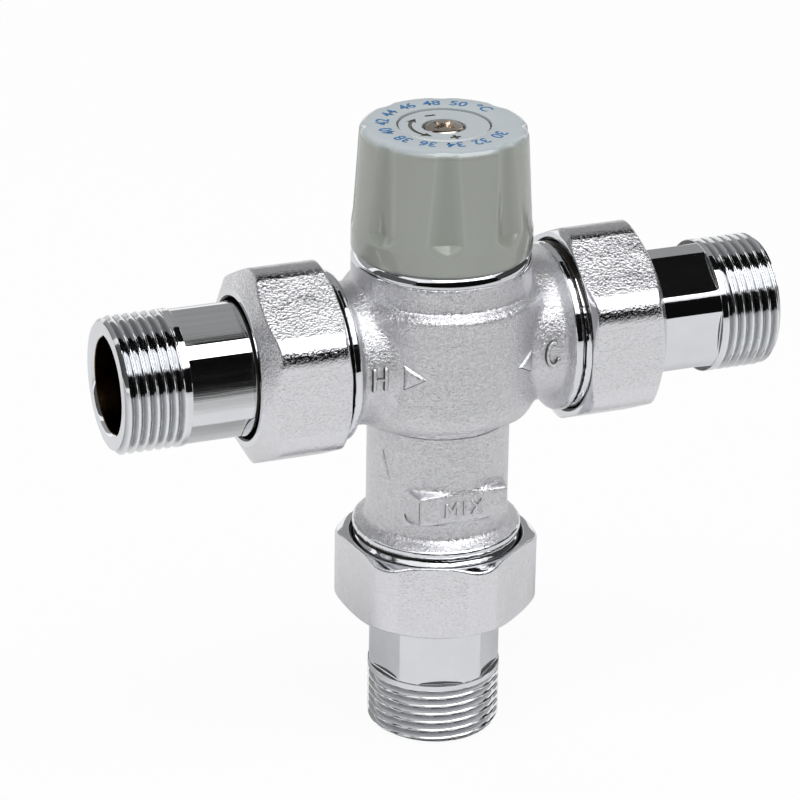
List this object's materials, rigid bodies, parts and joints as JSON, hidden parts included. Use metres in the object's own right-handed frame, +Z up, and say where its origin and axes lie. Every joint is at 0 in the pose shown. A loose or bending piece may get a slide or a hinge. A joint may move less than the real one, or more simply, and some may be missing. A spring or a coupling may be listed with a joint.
{
  "type": "thermostatic mixing valve",
  "caption": "Chromed mixing valve that blends hot and cold water to a set warmth, with a fluted grey knob on top, union nuts and threaded tails on its hot, cold and mixed ports.",
  "frame": {"origin": "centre of the mixed outlet tail's end face", "axes": "+Z up along the outlet and knob axis, +X from the hot inlet to the cold inlet, the marked front faces -Y"},
  "size_m": [0.135, 0.0408, 0.1266],
  "materials": {
    "cast_chrome": "satin",
    "nut_chrome": "satin",
    "polished_chrome": "polished",
    "knob_plastic": "semi-gloss",
    "plated_steel": "plated",
    "turned_brass": "turned",
    "sensor_copper": "turned",
    "spring_steel": "drawn",
    "strainer_steel": "pressed",
    "seal_rubber": "matt",
    "fibre_gasket": "matt",
    "valve_plastic": "matt"
  },
  "bodies": {
    "body": {"valve_body": "cast_chrome", "bonnet": "polished_chrome", "bonnet_o_ring": "seal_rubber", "return_spring": "spring_steel", "hot_strainer": "strainer_steel", "cold_strainer": "strainer_steel", "hot_gasket": "fibre_gasket", "cold_gasket": "fibre_gasket", "mix_gasket": "fibre_gasket"},
    "control": {"adjusting_knob": "knob_plastic", "knob_screw": "plated_steel", "control_stem": "turned_brass", "stem_o_rings": "seal_rubber", "stem_circlip": "spring_steel"},
    "carriage_group": {"carriage": "turned_brass", "overtravel_spring": "spring_steel", "retaining_ring": "spring_steel"},
    "plunger_group": {"overtravel_plunger": "plated_steel", "push_rod": "plated_steel"},
    "shuttle_group": {"shuttle": "valve_plastic", "shuttle_o_ring": "seal_rubber", "wax_sensor": "sensor_copper"},
    "mix_union": {"mix_tailpiece": "polished_chrome"},
    "mix_nut": {"mix_union_nut": "nut_chrome"},
    "hot_union": {"hot_tailpiece": "polished_chrome", "hot_check_housing": "valve_plastic", "hot_check_o_ring": "seal_rubber", "hot_check_spring": "spring_steel"},
    "hot_nut": {"hot_union_nut": "nut_chrome"},
    "hot_poppet": {"hot_check_poppet": "valve_plastic"},
    "cold_union": {"cold_tailpiece": "polished_chrome", "cold_check_housing": "valve_plastic", "cold_check_o_ring": "seal_rubber", "cold_check_spring": "spring_steel"},
    "cold_nut": {"cold_union_nut": "nut_chrome"},
    "cold_poppet": {"cold_check_poppet": "valve_plastic"}
  },
  "joints": [
    {"name": "knob_turn", "type": "hinge", "parent": "body", "child": "control", "pos_m": [0, 0, 0.082], "axis": [0, 0, 1], "range_deg": [-150, 150]},
    {"name": "carriage_travel", "type": "slide", "parent": "body", "child": "carriage_group", "axis": [0, 0, 1], "range_m": [-0.00083, 0.00083]},
    {"name": "overtravel", "type": "slide", "parent": "carriage_group", "child": "plunger_group", "axis": [0, 0, 1], "range_m": [0, 0.0006], "stiffness_N_per_m": 3000, "springref_m": -0.003, "deforming": ["overtravel_spring"]},
    {"name": "shuttle_stroke", "type": "slide", "parent": "plunger_group", "child": "shuttle_group", "axis": [0, 0, -1], "range_m": [-0.0004, 0.0009], "stiffness_N_per_m": 1500, "deforming": ["return_spring"]},
    {"name": "hot_union_draw", "type": "slide", "parent": "body", "child": "hot_union", "axis": [-1, 0, 0], "range_m": [0, 0.00577]},
    {"name": "hot_nut_turn", "type": "hinge", "parent": "hot_union", "child": "hot_nut", "pos_m": [0, 0, 0.082], "axis": [-1, 0, 0], "range_deg": [0, 900]},
    {"name": "cold_union_draw", "type": "slide", "parent": "body", "child": "cold_union", "axis": [1, 0, 0], "range_m": [0, 0.00577]},
    {"name": "cold_nut_turn", "type": "hinge", "parent": "cold_union", "child": "cold_nut", "pos_m": [0, 0, 0.082], "axis": [1, 0, 0], "range_deg": [0, 900]},
    {"name": "mix_union_draw", "type": "slide", "parent": "body", "child": "mix_union", "axis": [0, 0, -1], "range_m": [0, 0.00577]},
    {"name": "mix_nut_turn", "type": "hinge", "parent": "mix_union", "child": "mix_nut", "pos_m": [0, 0, 0.02], "axis": [0, 0, -1], "range_deg": [0, 900]},
    {"name": "hot_check_lift", "type": "slide", "parent": "hot_union", "child": "hot_poppet", "axis": [1, 0, 0], "range_m": [0, 0.003], "stiffness_N_per_m": 60, "springref_m": -0.003, "deforming": ["hot_check_spring"]},
    {"name": "cold_check_lift", "type": "slide", "parent": "cold_union", "child": "cold_poppet", "axis": [-1, 0, 0], "range_m": [0, 0.003], "stiffness_N_per_m": 60, "springref_m": -0.003, "deforming": ["cold_check_spring"]}
  ],
  "couplings": [
    {"joint": "knob_turn", "follows": "carriage_travel", "rad_per_m": 3141.6},
    {"joint": "hot_nut_turn", "follows": "hot_union_draw", "rad_per_m": 2721.2},
    {"joint": "cold_nut_turn", "follows": "cold_union_draw", "rad_per_m": 2721.2},
    {"joint": "mix_nut_turn", "follows": "mix_union_draw", "rad_per_m": 2721.2}
  ]
}
